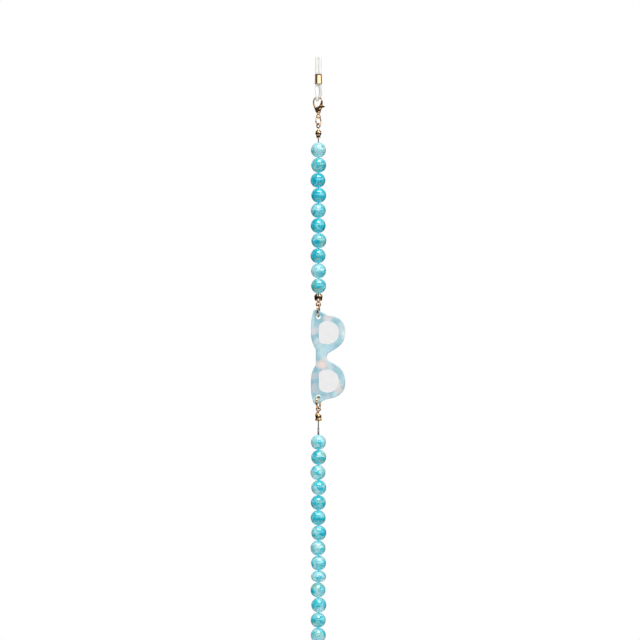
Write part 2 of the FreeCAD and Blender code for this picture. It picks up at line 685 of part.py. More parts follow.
def check_and_export():
    """Stop on any failed object or bad solid, then write one STEP file per sub-part."""
    doc.recompute()
    for made in doc.Objects:
        if "Invalid" in made.State or "Error" in made.State:
            raise RuntimeError(f"{made.Label} failed to compute: {made.State}")
    os.makedirs("parts", exist_ok=True)
    for node in nodes:
        shape = node.Shape
        if shape.isNull() or not shape.isValid() or not shape.Solids:
            raise RuntimeError(f"{node.Label} has no valid solid")
        shape.exportStep(f"parts/{node.Label}.step")
        print(f"{node.Label}: {len(shape.Solids)} solids, {shape.Volume:.2f} mm3")


fill_sheet()
strand_bottom = neck_beads()[1]
tip_reach = NECK_TIP["ball"] - NECK_TIP["collar"]
LOWER_END = Placement(Vector(0, 0, strand_bottom + tip_reach), Rotation(X_AXIS, 180))
upper_first_bead = CLASP_TIP["ball"] - CLASP_TIP["collar"] - END_WIRE_SLACK - SIZE["bead_pitch"] / 2
build_end("upper", UPPER_END, upper_first_bead)
tail_tube("neck_tail_tube", UPPER_END, NECK_TIP["ball"] - NECK_TIP["collar"] - 3.6)
neck_strand(strand_bottom + tip_reach - NECK_TIP["ball"])
build_end("lower", LOWER_END, upper_first_bead + END_WIRE_SLACK)
check_and_export()
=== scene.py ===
"""Visible model of a beaded retainer strap for eyeglasses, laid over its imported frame.

Laid out as an add-on: settings, one operator for each group of like pieces, a panel that lists
them, and main(), which runs them in order. Metres, +Z up, +X to the right and +Y away from the
camera. Shapes are worked out in millimetres in an end's own frame, which hangs from the upper
silicone loop; the lower end is the same layout turned half a turn about X.
"""
import json
import math

import bpy
import numpy as np
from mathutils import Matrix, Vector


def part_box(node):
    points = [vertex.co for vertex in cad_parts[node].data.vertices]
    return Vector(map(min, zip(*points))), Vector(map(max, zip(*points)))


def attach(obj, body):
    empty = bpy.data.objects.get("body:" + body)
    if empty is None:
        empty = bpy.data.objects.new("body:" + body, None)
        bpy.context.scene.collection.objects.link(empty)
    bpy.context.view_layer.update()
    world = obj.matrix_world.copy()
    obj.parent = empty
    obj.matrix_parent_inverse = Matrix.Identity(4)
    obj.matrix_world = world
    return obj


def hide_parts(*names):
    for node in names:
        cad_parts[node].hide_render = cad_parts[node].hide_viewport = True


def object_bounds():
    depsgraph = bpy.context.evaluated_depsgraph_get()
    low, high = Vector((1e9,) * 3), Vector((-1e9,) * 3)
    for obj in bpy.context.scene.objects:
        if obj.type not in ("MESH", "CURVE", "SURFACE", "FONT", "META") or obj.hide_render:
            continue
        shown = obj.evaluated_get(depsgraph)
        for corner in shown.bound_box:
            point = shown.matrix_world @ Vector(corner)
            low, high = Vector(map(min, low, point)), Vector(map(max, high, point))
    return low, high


bl_info = {
    "name": "Beaded Retainer Strap",
    "version": (1, 0, 0),
    "blender": (4, 5, 0),
    "location": "View3D > Sidebar > Strap",
    "description": "Builds the visible pieces of a beaded eyeglass retainer strap",
    "category": "Object",
}

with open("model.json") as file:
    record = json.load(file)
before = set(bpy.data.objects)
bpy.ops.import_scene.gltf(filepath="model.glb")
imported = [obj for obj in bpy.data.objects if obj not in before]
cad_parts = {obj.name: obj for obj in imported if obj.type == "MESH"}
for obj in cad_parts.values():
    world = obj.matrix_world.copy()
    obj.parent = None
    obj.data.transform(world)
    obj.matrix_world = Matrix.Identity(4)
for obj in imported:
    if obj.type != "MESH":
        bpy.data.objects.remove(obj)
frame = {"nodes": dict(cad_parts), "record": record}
CAD_LOW, CAD_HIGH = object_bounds()
MM = 0.001
SIDES = ("upper", "lower")
# Beads in each half of a short strand; the long strand's lengths, the beads on each, and the number
# of its one flattened bead, counted from 0.
HALF_BEADS = 5
NECK_SEGMENTS = 6
SEGMENT_BEADS = 6
FLAT_BEAD = 9
NODE_BODY = {node: body for body, nodes in frame["record"]["behaviour"]["bodies"].items()
             for node in nodes}


# -------- places, read from the frame

def low(node):
    """Lowest corner of a CAD node's box, in millimetres."""
    return np.array(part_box(node)[0]) / MM


def high(node):
    """Highest corner of a CAD node's box, in millimetres."""
    return np.array(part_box(node)[1]) / MM


def seat(points, side):
    """Puts an end's own points in the model: for the lower end y and z change sign, and z then
    gains the sum of the heights of the CAD box's top and bottom."""
    if side == "lower":
        points = points * (1, -1, -1) + (0, 0, (CAD_LOW.z + CAD_HIGH.z) / MM)
    return points


def span(node, side):
    """Lowest and highest point of a CAD node's box in its end's own frame, in millimetres."""
    ends = seat(np.stack([low(node), high(node)]), side)[:, 2]
    return ends.min(), ends.max()


# -------- settings

def linear(hex_colour):
    """An sRGB hex colour as linear red, green and blue: each over 255, then the sRGB curve undone."""
    channel = np.array([int(hex_colour[i:i + 2], 16) for i in (0, 2, 4)]) / 255
    curve = ((channel + 0.055) / 1.055) ** 2.4
    return tuple(np.where(channel <= 0.04045, channel / 12.92, curve).tolist())


def length_setting(name, description, default):
    """A size that a user may change, held in metres."""
    return bpy.props.FloatProperty(name=name, description=description, default=default, min=0,
                                   precision=5, unit="LENGTH")


def colour_setting(name, description, hex_colour):
    """A colour that a user may change, given as sRGB hex."""
    return bpy.props.FloatVectorProperty(name=name, description=description, subtype="COLOR", min=0,
                                         max=1, default=linear(hex_colour))


class StrapSizes(bpy.types.PropertyGroup):
    """Sizes of the strap's pieces; the defaults of the bead, the flattened bead and the wire come from
    the frame.
    """
    bead: length_setting("Bead", "Diameter of a round bead",
                         (high("flat_bead") - low("flat_bead"))[0] * MM)
    flat_bead: length_setting("Flat bead", "Height of the flattened bead",
                              (high("flat_bead") - low("flat_bead"))[2] * MM)
    bead_pitch: length_setting("Bead spacing", "Spacing of the round beads", 0.008)
    bore: length_setting("Bore", "Diameter of the hole drilled in a bead", 0.0013)
    wander: length_setting("Bead wander", "How far a bead sits off the wire's line", 0.00024)
    wire: length_setting("Wire", "Diameter of the stringing wire",
                         (high("neck_wire_2") - low("neck_wire_2"))[0] * MM)
    silicone: length_setting("Silicone", "Diameter of the silicone loop's section", 0.00164)
    clasp_ring: length_setting("Clasp ring", "Wire diameter of the ring on the clasp", 0.0006)
    charm_ring: length_setting("Charm ring", "Wire diameter of the rings on the charm", 0.00095)
    tip_loop: length_setting("Tip loop", "Wire diameter of a bead tip's loop", 0.00068)


class StrapColours(bpy.types.PropertyGroup):
    """Colours of the strap's finishes."""
    stone_pale: colour_setting("Stone, pale", "Stone where little dye took", "B0E2EA")
    stone_body: colour_setting("Stone, body", "Dyed stone", "3ECBDC")
    stone_deep: colour_setting("Stone, deep", "Stone where most dye took", "00B0CA")
    stone_matrix: colour_setting("Stone, matrix", "Green mineral between the dyed grains", "86BCA6")
    gold: colour_setting("Gold", "Gold plating", "E8C69A")
    gold_film: colour_setting("Gold film", "Thin brown film in the plating's hollows", "B07C44")
    rose_gold: colour_setting("Rose gold", "Plating of the sliding tube", "ECC3A0")
    silicone: colour_setting("Silicone", "Clear silicone", "F4F4F2")
    wire: colour_setting("Wire", "Coated stringing wire", "9A9CA0")
    acetate_blue: colour_setting("Acetate, blue", "Main colour of the charm", "9FC9D5")
    acetate_pale: colour_setting("Acetate, pale", "Pale clouds in the charm", "C9E3E9")
    acetate_blush: colour_setting("Acetate, blush", "Warm clouds in the charm", "F4DFD9")
    lens: colour_setting("Lens", "Clear lens with a very light tint", "F2F2F2")
    steel: colour_setting("Steel", "Spring and pin of the clasp", "8F8A84")
    floor: colour_setting("Floor", "Painted studio floor", "F1F1EF")


class StrapStudio(bpy.types.PropertyGroup):
    """Camera and lights."""
    distance: length_setting("Camera distance", "Camera to strap", 1.2713)
    lens: bpy.props.FloatProperty(
        name="Lens", description="Focal length", default=135, min=10, unit="CAMERA")
    height: bpy.props.FloatProperty(
        name="Camera height", description="Height of the camera's axis", default=-0.1346, unit="LENGTH")
    offset: bpy.props.FloatProperty(
        name="Camera offset", description="Camera to the right of the strap", default=0.00085,
        precision=5, unit="LENGTH")
    key: bpy.props.FloatProperty(
        name="Key light", description="Power of the softbox", default=70, min=0, unit="POWER")
    ambient: bpy.props.FloatProperty(
        name="Ambient", description="Strength of the studio's own light", default=1.0, min=0)


# -------- surfaces

def grid(points, wrap_rows=False, wrap_cols=False, cap=None):
    """Vertices and faces of a surface given as rows and columns of points.

    A face joins a point to the ones below it, diagonal to it and beside it, so it looks the way of
    (down the rows) x (along the columns). A cap is one face over the open first and last row or column.
    """
    rows, cols = points.shape[:2]
    index = np.arange(rows * cols).reshape(rows, cols)
    below = np.roll(index, -1, 0)
    corners = np.stack([index, below, np.roll(below, -1, 1), np.roll(index, -1, 1)], -1)
    faces = corners[:rows if wrap_rows else -1, :cols if wrap_cols else -1].reshape(-1, 4).tolist()
    if cap == "rows":
        faces += [index[0].tolist(), index[-1, ::-1].tolist()]
    if cap == "cols":
        faces += [index[::-1, 0].tolist(), index[:, -1].tolist()]
    return points.reshape(-1, 3), faces


def lathe(profile, azimuth, centre=(0, 0, 0), **edges):
    """A profile of (radius, height) rows carried round Z: x = radius cos a, y = radius sin a."""
    radius, height = profile[:, 0, None], profile[:, 1, None]
    points = np.stack([radius * np.cos(azimuth), radius * np.sin(azimuth), height + 0 * azimuth], -1)
    return grid(points + centre, **edges)


def full_turn(sides):
    """Evenly spaced angles of one turn, without the repeated last one."""
    return np.linspace(0, 2 * np.pi, sides, endpoint=False)


def unit(vectors):
    """Each vector over its own length."""
    return vectors / np.linalg.norm(vectors, axis=-1, keepdims=True)


def sweep(path, half_width, half_depth, sides, depth_axis=(0, 1, 0), closed=False, squareness=2.0):
    """A section carried along a path, with its depth held towards depth_axis.

    The section is a superellipse: width times the signed power 2/squareness of the cosine and depth
    times that of the sine. Width and depth may change along the path.
    """
    along = np.roll(path, -1, 0) - np.roll(path, 1, 0) if closed else np.gradient(path, axis=0)
    tangent = unit(along)
    depth_axis = np.broadcast_to(np.asarray(depth_axis, float), path.shape)
    across = unit(depth_axis - np.sum(depth_axis * tangent, -1, keepdims=True) * tangent)
    side = np.cross(across, tangent)
    turn = full_turn(sides)[:, None]
    power = 2 / squareness
    wide = np.sign(np.cos(turn)) * np.abs(np.cos(turn)) ** power * half_width
    deep = np.sign(np.sin(turn)) * np.abs(np.sin(turn)) ** power * half_depth
    points = path + side * wide[..., None] + across * deep[..., None]
    return grid(points, wrap_rows=True, wrap_cols=closed, cap=None if closed else "cols")


def smooth_curve(corners, steps=12, closed=False):
    """Quadratic B-spline of the corners: from one run's middle to the next it is
    (1-t)^2 a + 2t(1-t) corner + t^2 b. An open curve starts and ends on its end corners."""
    corners = np.asarray(corners, float)
    if not closed:
        corners = np.concatenate([corners[:1], corners, corners[-1:]])
    before = (corners + np.roll(corners, 1, 0))[:, None] / 2
    after = (corners + np.roll(corners, -1, 0))[:, None] / 2
    t = np.linspace(0, 1, steps, endpoint=False)[None, :, None]
    points = (1 - t) ** 2 * before + 2 * t * (1 - t) * corners[:, None] + t ** 2 * after
    if closed:
        return points.reshape(-1, points.shape[-1])
    return np.concatenate([points[1:-1].reshape(-1, points.shape[-1]), corners[-1:]])


def walked(path):
    """Distance walked along a path at each of its points."""
    return np.concatenate([[0], np.cumsum(np.linalg.norm(np.diff(path, axis=0), axis=1))])


def respaced(path, count, crowded=0.0):
    """The same path with its points spaced evenly by distance, or crowded towards both ends."""
    even = np.linspace(0, 1, count)
    share = (1 - crowded) * even + crowded * (1 - np.cos(np.pi * even)) / 2
    distance = walked(path)
    return np.stack([np.interp(share * distance[-1], distance, column) for column in path.T], -1)


def domed(path, reach_start, reach_end):
    """Share of the full section at each point, so that the ends close as rounded domes:
    the root of 1 - (1 - distance/reach)^2 over each end's reach."""
    distance = walked(path)
    start = np.clip(distance / reach_start, 0, 1) - 1
    stop = np.clip((distance[-1] - distance) / reach_end, 0, 1) - 1
    return np.maximum(np.sqrt(1 - start ** 2) * np.sqrt(1 - stop ** 2), 0.04)


def plate(outline, front, back, edge):
    """A flat plate between two depths, with rounded edges.

    The outline runs anticlockwise as the camera sees it. Over a quarter turn it moves outward by
    edge x sine and back by edge x (1 - cosine), and the same again at the back. A row 0.1 mm inside
    each flat keeps it flat to its edge.
    """
    tangent = unit(np.roll(outline, -1, 0) - np.roll(outline, 1, 0))
    outward = np.stack([tangent[:, 1], -tangent[:, 0]], -1)
    quarter = np.linspace(0, np.pi / 2, 4)
    inset = np.concatenate([[edge + 0.1], edge * (1 - np.sin(quarter))])
    sunk = np.concatenate([[0], edge * (1 - np.cos(quarter))])
    depth = np.concatenate([front + sunk, back - sunk[::-1]])
    inset = np.concatenate([inset, inset[::-1]])
    flat = outline[None] - outward[None] * inset[:, None, None]
    points = np.stack([flat[..., 0], np.broadcast_to(depth[:, None], flat.shape[:2]), flat[..., 1]], -1)
    return grid(points, wrap_cols=True, cap="rows")


def moved(part, offset):
    """A part moved by an offset."""
    return part[0] + offset, part[1]


def turned(part, degrees, axis, centre=(0, 0, 0)):
    """A part turned about an axis through a centre: the rotation matrix on all its points at once."""
    points, faces = part
    a = math.radians(degrees)
    c, s = math.cos(a), math.sin(a)
    about = {"x": [[1, 0, 0], [0, c, -s], [0, s, c]], "y": [[c, 0, s], [0, 1, 0], [-s, 0, c]],
             "z": [[c, -s, 0], [s, c, 0], [0, 0, 1]]}[axis]
    return (points - centre) @ np.array(about).T + centre, faces


# -------- pieces

SHARP_ANGLE = 40  # degrees between two faces, over which their edge is drawn sharp


def new_object(name, data):
    """An object of its own for some data, linked to the scene."""
    made = bpy.data.objects.new(name, data)
    bpy.context.scene.collection.objects.link(made)
    return made


def make_mesh(name, parts, side=None, attributes=None):
    """One mesh object from several parts given in millimetres, smooth but for its sharp edges."""
    starts = np.cumsum([0] + [len(points) for points, faces in parts])
    points = np.concatenate([points for points, faces in parts])
    faces = [[v + int(start) for v in face]
             for part, start in zip(parts, starts) for face in part[1]]
    mesh = bpy.data.meshes.new(name)
    mesh.from_pydata((seat(points, side) * MM).tolist(), [], faces)
    for label, values in (attributes or {}).items():
        made = mesh.attributes.new(label, "FLOAT", "POINT")
        made.data.foreach_set("value", values.astype(np.float32))
    mesh.shade_smooth()
    mesh.set_sharp_from_angle(angle=math.radians(SHARP_ANGLE))
    return new_object(name, mesh)


def place(made, node, slot):
    """Gives a piece its finish, and has it stand for a CAD node and ride on that node's body."""
    made.data.materials.append(finish_named(slot))
    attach(made, NODE_BODY[node])
    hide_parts(node)


def refinish(node, finish):
    """A better material on a CAD node whose shape is right."""
    held = frame["nodes"][node]
    if not held.material_slots:
        held.data.materials.append(finish_named(finish))
    for holder in held.material_slots:
        holder.material = finish_named(finish)


# -------- finishes

def fill(tree, node, inputs):
    """Sets a node's sockets; a value given as (node, output) is linked."""
    for key, value in inputs.items():
        if isinstance(value, tuple) and isinstance(value[0], bpy.types.Node):
            tree.links.new(value[0].outputs[value[1]], node.inputs[key])
        else:
            node.inputs[key].default_value = value


def add_node(tree, kind, inputs=None, **settings):
    """Adds a node, sets its properties and fills its sockets."""
    made = tree.nodes.new(kind)
    for key, value in settings.items():
        setattr(made, key, value)
    fill(tree, made, inputs or {})
    return made


def colour_ramp(tree, source, stops):
    """A colour ramp driven by a socket; each stop is (place, linear colour)."""
    ramp = add_node(tree, "ShaderNodeValToRGB", {"Fac": source})
    while len(ramp.color_ramp.elements) < len(stops):
        ramp.color_ramp.elements.new(1)
    for element, (where, colour) in zip(ramp.color_ramp.elements, stops):
        element.position = where
        element.color = (*tuple(colour)[:3], 1)
    return ramp, "Color"


def new_material(name):
    """An empty node material with its tree, its shader and its Object coordinates."""
    material = bpy.data.materials.new(name)
    material.use_nodes = True
    tree = material.node_tree
    coords = (add_node(tree, "ShaderNodeTexCoord"), "Object")
    return material, tree, tree.nodes["Principled BSDF"], coords


def per_mm(size):
    """Texture scale, per metre, of a pattern whose features are this many millimetres."""
    return 1 / (size * MM)


def noise(tree, coords, size, detail, roughness=0.5, distortion=0.0):
    """A noise whose features are this many millimetres across."""
    made = add_node(tree, "ShaderNodeTexNoise", {
        "Vector": coords, "Scale": per_mm(size), "Detail": detail, "Roughness": roughness,
        "Distortion": distortion})
    return made, "Fac"


def maths(tree, operation, *values):
    """One step of arithmetic on sockets or numbers."""
    return add_node(tree, "ShaderNodeMath", dict(enumerate(values)), operation=operation), 0


def bump(tree, height, strength, depth):
    """A bump of a real depth in millimetres, for a shader's normal."""
    made = add_node(tree, "ShaderNodeBump",
                    {"Height": height, "Strength": strength, "Distance": depth * MM})
    return made, "Normal"


def mixed(tree, share, first, second, blend="MIX"):
    """A colour mix; share, first and second are sockets or values."""
    made = add_node(tree, "ShaderNodeMix", {0: share, 6: first, 7: second}, data_type="RGBA",
                    blend_type=blend)
    return made, 2


def ranged(tree, source, from_low, from_high, to_low, to_high, smooth="LINEAR"):
    """A socket's range carried to another range."""
    inputs = dict(enumerate((source, from_low, from_high, to_low, to_high)))
    return add_node(tree, "ShaderNodeMapRange", inputs, interpolation_type=smooth), 0


def dyed_stone(colours):
    """Dyed jasper, tumbled and polished: clouds of dye, a green matrix, dark flecks and fine veins
    under a glassy surface; each bead painted paler towards its top and deeper towards its bottom as
    painted shading, and a painted glow where beads meet."""
    material, tree, shader, coords = new_material("Dyed jasper, polished")
    dye_and_shade, matrix, ends = ((add_node(tree, "ShaderNodeAttribute", attribute_name=name), "Fac")
                          for name in ("dye", "matrix", "ends"))
    # clouds of dye 4 mm across, over each bead's dye and a painted shading that makes it paler towards
    # its top and deeper towards its bottom
    spread = ranged(tree, noise(tree, coords, 4, 2.5, 0.55, 0.8), 0.36, 0.64, -0.5, 0.5)
    shown = colour_ramp(tree, maths(tree, "ADD", dye_and_shade, spread),
                        [(0, colours.stone_pale), (0.5, colours.stone_body), (1, colours.stone_deep)])
    # green matrix in patches 3.4 mm across
    patch = noise(tree, coords, 3.4, 2.5, 0.5, 1.0)
    share = maths(tree, "MULTIPLY", ranged(tree, patch, 0.5, 0.62, 0, 0.85, "SMOOTHSTEP"), matrix)
    shown = mixed(tree, share, shown, (*colours.stone_matrix, 1))
    # dark flecks 1.9 mm apart
    fleck = add_node(tree, "ShaderNodeTexVoronoi", {"Vector": coords, "Scale": per_mm(1.9)})
    share = ranged(tree, (fleck, "Distance"), 0.1, 0.24, 0.5, 0, "SMOOTHSTEP")
    shown = mixed(tree, share, shown, (*linear("0A94AE"), 1))
    # veins where a 4.2 mm noise crosses its middle value
    from_middle = maths(tree, "SUBTRACT", noise(tree, coords, 4.2, 3.0, 0.5, 2.2), 0.5)
    share = ranged(tree, maths(tree, "ABSOLUTE", from_middle), 0, 0.02, 0.25, 0, "SMOOTHSTEP")
    shown = mixed(tree, share, shown, (*linear("1F9FB0"), 1))
    # painted glow: an emission where neighbouring beads meet lightens the shade they cast on each other
    painted_glow = ranged(tree, ends, 0, 1, 0, 0.34, "SMOOTHSTEP")
    fill(tree, shader, {
        "Base Color": shown, "Emission Strength": painted_glow,
        "Emission Color": (*linear("62CEDA"), 1),
        "Roughness": ranged(tree, patch, 0.4, 0.7, 0.1, 0.2),
        "Normal": bump(tree, patch, 0.15, 0.03), "IOR": 1.65, "Subsurface Weight": 0.6,
        "Subsurface Scale": 0.002, "Subsurface Radius": (0.35, 1.0, 1.0),
        "Coat Weight": 0.8, "Coat Roughness": 0.05})
    return material


def plated_metal(name, plating, film, grain, stretch, roughness):
    """Electroplated brass, polished: the plate keeps the casting's or the draw's faint ripple, and a
    thin film dulls its hollows."""
    material, tree, shader, coords = new_material(name)
    laid = add_node(tree, "ShaderNodeMapping", {"Vector": coords, "Scale": (1, 1, stretch)})
    ripple = noise(tree, (laid, 0), grain, 4.0, 0.55)
    filmed = ranged(tree, noise(tree, coords, 2.4, 3.0), 0.42, 0.72, 0, 0.55, "SMOOTHSTEP")
    fill(tree, shader, {
        "Base Color": mixed(tree, filmed, (*plating, 1), (*film, 1)),
        "Roughness": ranged(tree, ripple, 0.3, 0.7, roughness * 0.7, roughness * 1.5),
        "Normal": bump(tree, ripple, 0.35, 0.02), "Metallic": 1.0})
    return material


def moulded_silicone(colours):
    """Clear silicone rubber, moulded: milky and pale, its skin slightly matt and dusty."""
    material, tree, shader, coords = new_material("Silicone rubber, moulded clear")
    haze = noise(tree, coords, 4, 2.0)
    fill(tree, shader, {
        "Base Color": colour_ramp(tree, haze, [(0.3, colours.silicone), (0.75, linear("EEEEEB"))]),
        "Roughness": ranged(tree, haze, 0.3, 0.7, 0.26, 0.36),
        "Normal": bump(tree, haze, 0.1, 0.005), "IOR": 1.41})
    return material


def coated_wire(colours):
    """Stranded steel stringing wire in a clear nylon coat: its strands stand out in slanting relief,
    with painted shade between them and a painted sheen along them as light and dark lines. The real
    strands are 0.1 mm wide, drawn here at 0.5 mm so that they show."""
    material, tree, shader, coords = new_material("Steel stringing wire, nylon coated")
    slanted = add_node(tree, "ShaderNodeMapping",
                       {"Vector": coords, "Rotation": (0, math.radians(55), 0)})
    wave = add_node(tree, "ShaderNodeTexWave", {
        "Vector": (slanted, 0), "Scale": per_mm(0.5) / 20, "Distortion": 0.6, "Detail": 1.0})
    twist_and_shade = (wave, "Fac")
    fill(tree, shader, {
        # painted shade and sheen: the wave darkens the colour between the strands and lightens it along
        # them
        "Base Color": colour_ramp(tree, twist_and_shade, [(0.2, linear("6E7074")), (0.8, colours.wire)]),
        "Normal": bump(tree, twist_and_shade, 0.5, 0.03), "Metallic": 0.85, "Roughness": 0.38,
        "Coat Weight": 0.6, "Coat Roughness": 0.15})
    return material


def marbling_clouds_and_highlight(colours):
    """Clouds of the charm's marbling, and a painted highlight on its right rim: across and along from
    its middle, radius in mm, and colour.
    """
    grey, dusty, blush = linear("DCDCE2"), linear("C0CAD1"), tuple(colours.acetate_blush)
    return ((-1.8, 14.2, 3.2, grey), (-1.0, 8.8, 2.4, linear("CFDDE4")), (5.0, 20.6, 2.8, grey),
            # the near-white spot 13.1 across and 11.6 along is a painted highlight on the right rim
            (13.0, 16.0, 3.0, linear("CCDBE2")), (13.1, 11.6, 1.9, linear("F2F5F6")),
            (0.9, 4.6, 1.5, linear("D9E3E8")), (2.1, -4.4, 4.2, blush), (-2.3, -10.4, 3.2, dusty),
            (-2.3, -16.0, 3.2, dusty), (10.9, -17.6, 3.2, blush), (5.4, -21.2, 1.8, grey))


def marbled_acetate(colours, side):
    """Block cellulose acetate, cut, tumbled and polished: milky blue with pale and warm clouds that run
    through its whole thickness, and a painted highlight on its right rim."""
    material, tree, shader, coords = new_material(f"Cellulose acetate, marbled, {side}")
    shown = colour_ramp(tree, noise(tree, coords, 12, 2.5, 0.45, 0.9), [
        (0.34, linear("8FC0CF")), (0.48, colours.acetate_blue), (0.6, linear("B9DCE6")),
        (0.72, colours.acetate_pale)])
    # clouds off the blue: cool grey in the outer rim, warm ones by the bridge and in the inner rim's
    # far corner; among them a painted highlight, near white, on the right rim
    warp = noise(tree, coords, 4, 3.0)
    height = sum(span(f"{side}_charm_front", side)) / 2
    for across, along, radius, cloud_and_highlight in marbling_clouds_and_highlight(colours):
        spot, reach = seat(np.array([[across, 0, height + along]]), side)[0] * MM, radius * MM
        away = add_node(tree, "ShaderNodeVectorMath", {0: coords, 1: tuple(spot)}, operation="DISTANCE")
        sway = ranged(tree, warp, 0.3, 0.7, -0.5 * reach, 0.5 * reach)
        edge = maths(tree, "ADD", (away, "Value"), sway)
        share = ranged(tree, edge, reach * 0.35, reach * 1.45, 0.95, 0, "SMOOTHSTEP")
        shown = mixed(tree, share, shown, (*cloud_and_highlight, 1))
    silk = noise(tree, coords, 0.8, 4.0)
    fill(tree, shader, {
        "Base Color": shown, "Roughness": ranged(tree, silk, 0.3, 0.7, 0.12, 0.24),
        "Normal": bump(tree, silk, 0.12, 0.02), "IOR": 1.49, "Subsurface Weight": 0.2,
        "Subsurface Scale": 0.0012, "Coat Weight": 0.3, "Coat Roughness": 0.06})
    return material


def clear_lens(colours):
    """Clear acrylic sheet, polished: see-through, faintly grey, with a little haze of wear."""
    material, tree, shader, coords = new_material("Acrylic sheet, clear")
    wear = noise(tree, coords, 3, 4.0)
    fill(tree, shader, {
        "Base Color": colour_ramp(tree, wear, [(0.3, colours.lens), (0.8, linear("EBECEC"))]),
        "Roughness": ranged(tree, wear, 0.3, 0.7, 0.03, 0.09), "IOR": 1.49,
        "Transmission Weight": 1.0})
    return material


def painted_floor(colours):
    """Studio floor in matt white paint, with a roller's faint texture."""
    material, tree, shader, coords = new_material("Matt white floor paint")
    roller = noise(tree, coords, 2.5, 3.0)
    fill(tree, shader, {
        "Base Color": colour_ramp(tree, roller, [(0.3, colours.floor), (0.7, linear("ECECEA"))]),
        "Normal": bump(tree, roller, 0.1, 0.1), "Roughness": 0.75})
    return material


FINISHES = {}


def finish_named(key):
    """A finish by its slot name, made once; the marbled acetate has one for each end."""
    colours = bpy.context.scene.strap_colours
    makers = {
        "stone_beads": (dyed_stone, colours),
        "gold_plated_brass": (plated_metal, "Gold plating on cast brass, polished", colours.gold,
                              colours.gold_film, 0.7, 1.0, 0.08),
        "rose_gold_tube": (plated_metal, "Rose gold plating on drawn tube, polished", colours.rose_gold,
                           linear("C98A63"), 0.35, 0.08, 0.1),
        "spring_steel": (plated_metal, "Spring steel, rolled", colours.steel, linear("5C5650"), 0.3,
                         0.3, 0.3),
        "silicone": (moulded_silicone, colours),
        "stringing_wire": (coated_wire, colours),
        "marbled_acetate_upper": (marbled_acetate, colours, "upper"),
        "marbled_acetate_lower": (marbled_acetate, colours, "lower"),
        "clear_lens": (clear_lens, colours),
        "floor": (painted_floor, colours),
    }
    if key not in FINISHES:
        maker, *settings = makers[key]
        FINISHES[key] = maker(*settings)
    return FINISHES[key]


# -------- shapes of the pieces

def bead_shape(diameter, tall, bore, number):
    """A tumbled, drilled bead about the origin, with how near each of its points is to its ends, which
    drives a painted glow where beads meet.

    Outside, the radius is a ball's less up to 0.8% of a slow wave of both angles that dies at the
    poles, with its own phase for each bead; the edge of the bore is broken by a dish, and the bore is
    a cylinder.
    """
    start = math.asin(bore * 1.12 / diameter)
    polar = np.linspace(start, np.pi - start, 34)
    azimuth = full_turn(44)
    phase = number * 1.9
    wave = (1 + np.sin(2 * polar[:, None] + phase) * np.sin(azimuth + phase)
            * np.cos(3 * polar[:, None] - phase)) / 2 * np.sin(polar[:, None])
    reach = diameter / 2 * (1 - 0.008 * wave)
    round_axis = reach * np.sin(polar)[:, None]
    outside = np.stack([round_axis * np.cos(azimuth), round_axis * np.sin(azimuth),
                        reach * np.cos(polar)[:, None] * tall / diameter], -1)
    dish = np.exp(-((polar - start) / 0.1) ** 2) + np.exp(-((np.pi - start - polar) / 0.1) ** 2)
    outside[..., 2] -= np.sign(outside[..., 2]) * 0.03 * dish[:, None]
    rim = np.abs(outside[[-1, 0], :, 2]).mean() - 0.1
    rise = np.array([-rim, 0, rim])[:, None] + 0 * azimuth
    wall = np.stack([bore / 2 * np.cos(azimuth) + 0 * rise,
                     bore / 2 * np.sin(azimuth) + 0 * rise, rise], -1)
    # nearness to the bead's ends, for the painted glow that lightens the shade where beads meet
    near = np.append(np.clip(np.abs(outside[:, 0, 2]) / tall * 5 - 1.5, 0, 1), np.ones(len(wall)))
    part = grid(np.concatenate([outside, wall]), wrap_rows=True, wrap_cols=True)
    return part, np.repeat(near, len(azimuth))


# How deep the dye took in a bead, and how much green matrix shows, both from 0 to 1.
LOOKS = {"pale": (0.12, 0.15), "grey": (0.24, 0.6), "clear": (0.42, 0.25), "bright": (0.7, 0.15),
         "teal": (0.82, 0.5), "mottled": (0.5, 0.85), "olive": (0.42, 1.0), "green": (0.5, 0.7)}
END_LOOKS = "pale mottled teal bright clear bright mottled teal pale mottled".split()
NECK_LOOKS = ("pale mottled grey clear green bright mottled grey clear pale olive clear mottled "
              "grey pale teal clear mottled bright grey mottled clear teal pale green bright olive "
              "clear").split()


def wander(number):
    """A bead's place off the wire: sine waves of 2.4 radians a bead across and 1.7 in depth."""
    reach = bpy.context.scene.strap_sizes.wander / MM
    return np.array([reach * math.sin(2.4 * number), reach * math.sin(1.7 * number), 0])


def bead_row(node, centres, numbers, looks, side=None):
    """A piece of loose beads at their centres, each with its own wave and stone."""
    sizes = bpy.context.scene.strap_sizes
    parts, marks = [], {"dye": [], "matrix": [], "ends": []}
    for centre, number in zip(centres, numbers):
        tall = sizes.flat_bead if node == "flat_bead" else sizes.bead
        (points, faces), near = bead_shape(sizes.bead / MM, tall / MM, sizes.bore / MM, number)
        parts.append((points + centre, faces))
        dye, matrix = LOOKS[looks[number % len(looks)]]
        # painted shading: the dye value falls towards the bead's top and rises towards its bottom, so
        # every bead is paler on top and deeper below
        marks["dye"].append(dye - 0.2 * points[:, 2] / (tall / 2 / MM))
        marks["matrix"].append(np.full(len(points), matrix))
        # stored as the ends attribute, which sets the painted glow where beads meet
        marks["ends"].append(near)
    made = make_mesh(f"beads_{node}", parts, side, {k: np.concatenate(v) for k, v in marks.items()})
    place(made, node, "stone_beads")


